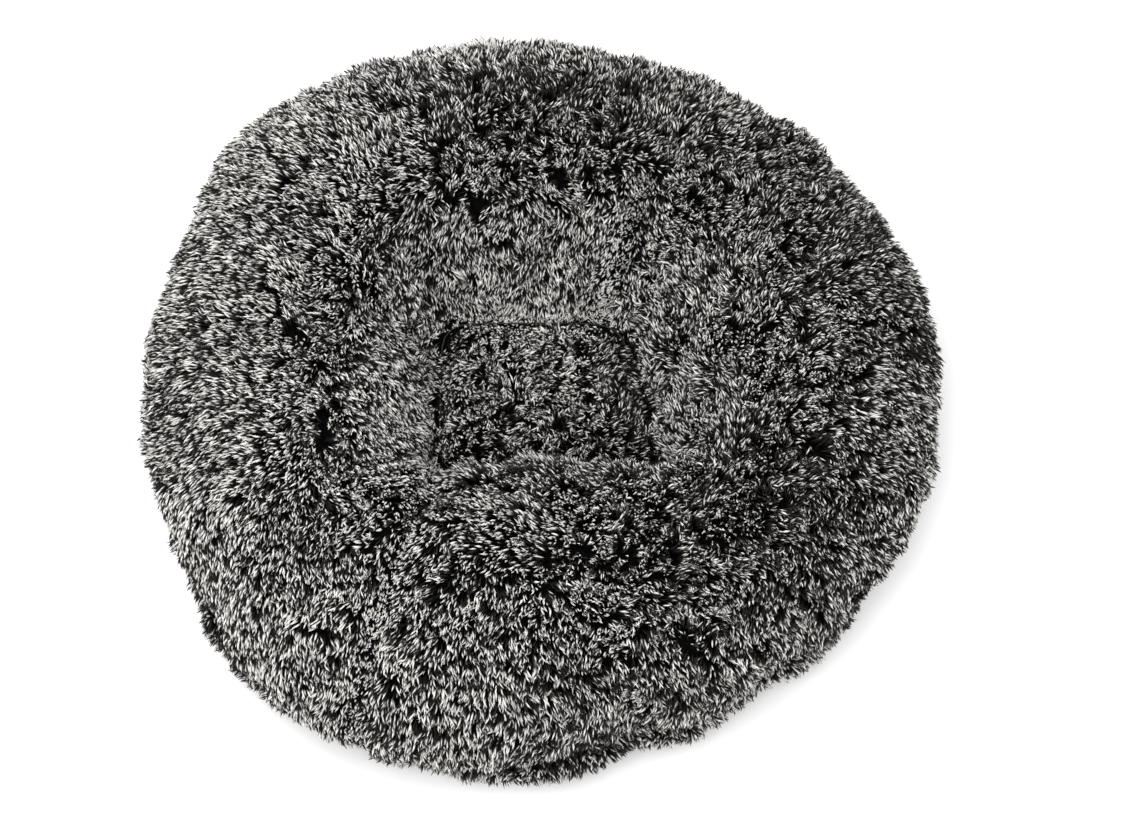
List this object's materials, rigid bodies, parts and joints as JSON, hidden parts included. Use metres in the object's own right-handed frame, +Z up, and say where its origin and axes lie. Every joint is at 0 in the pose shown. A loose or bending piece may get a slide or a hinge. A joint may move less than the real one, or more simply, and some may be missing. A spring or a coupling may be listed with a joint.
{
  "type": "pet cushion bed",
  "caption": "Round plush floor cushion for a small pet: a stuffed ring of long dark pile round a sewn-down square centre.",
  "frame": {"origin": "on the floor, under the middle of the cushion's outline", "axes": "+Z up from the floor, -Y towards the front of the cushion, +X to its right seen from the front"},
  "size_m": [0.6827, 0.6843, 0.171],
  "materials": {
    "plush": "long shaggy pile, near-black roots with silver tips",
    "base_cloth": "plain woven, matte",
    "fibre": "loose polyester fibre",
    "thread": "twisted polyester thread",
    "label_satin": "blank satin"
  },
  "bodies": {
    "root": {"top_cover": "plush", "side_band": "plush", "base_panel": "base_cloth", "ring_fill": "fibre", "centre_fill": "fibre", "quilting_thread_top": "thread", "quilting_thread_base": "thread", "perimeter_seam_thread": "thread", "base_seam_thread": "thread", "care_label": "label_satin"}
  },
  "joints": []
}
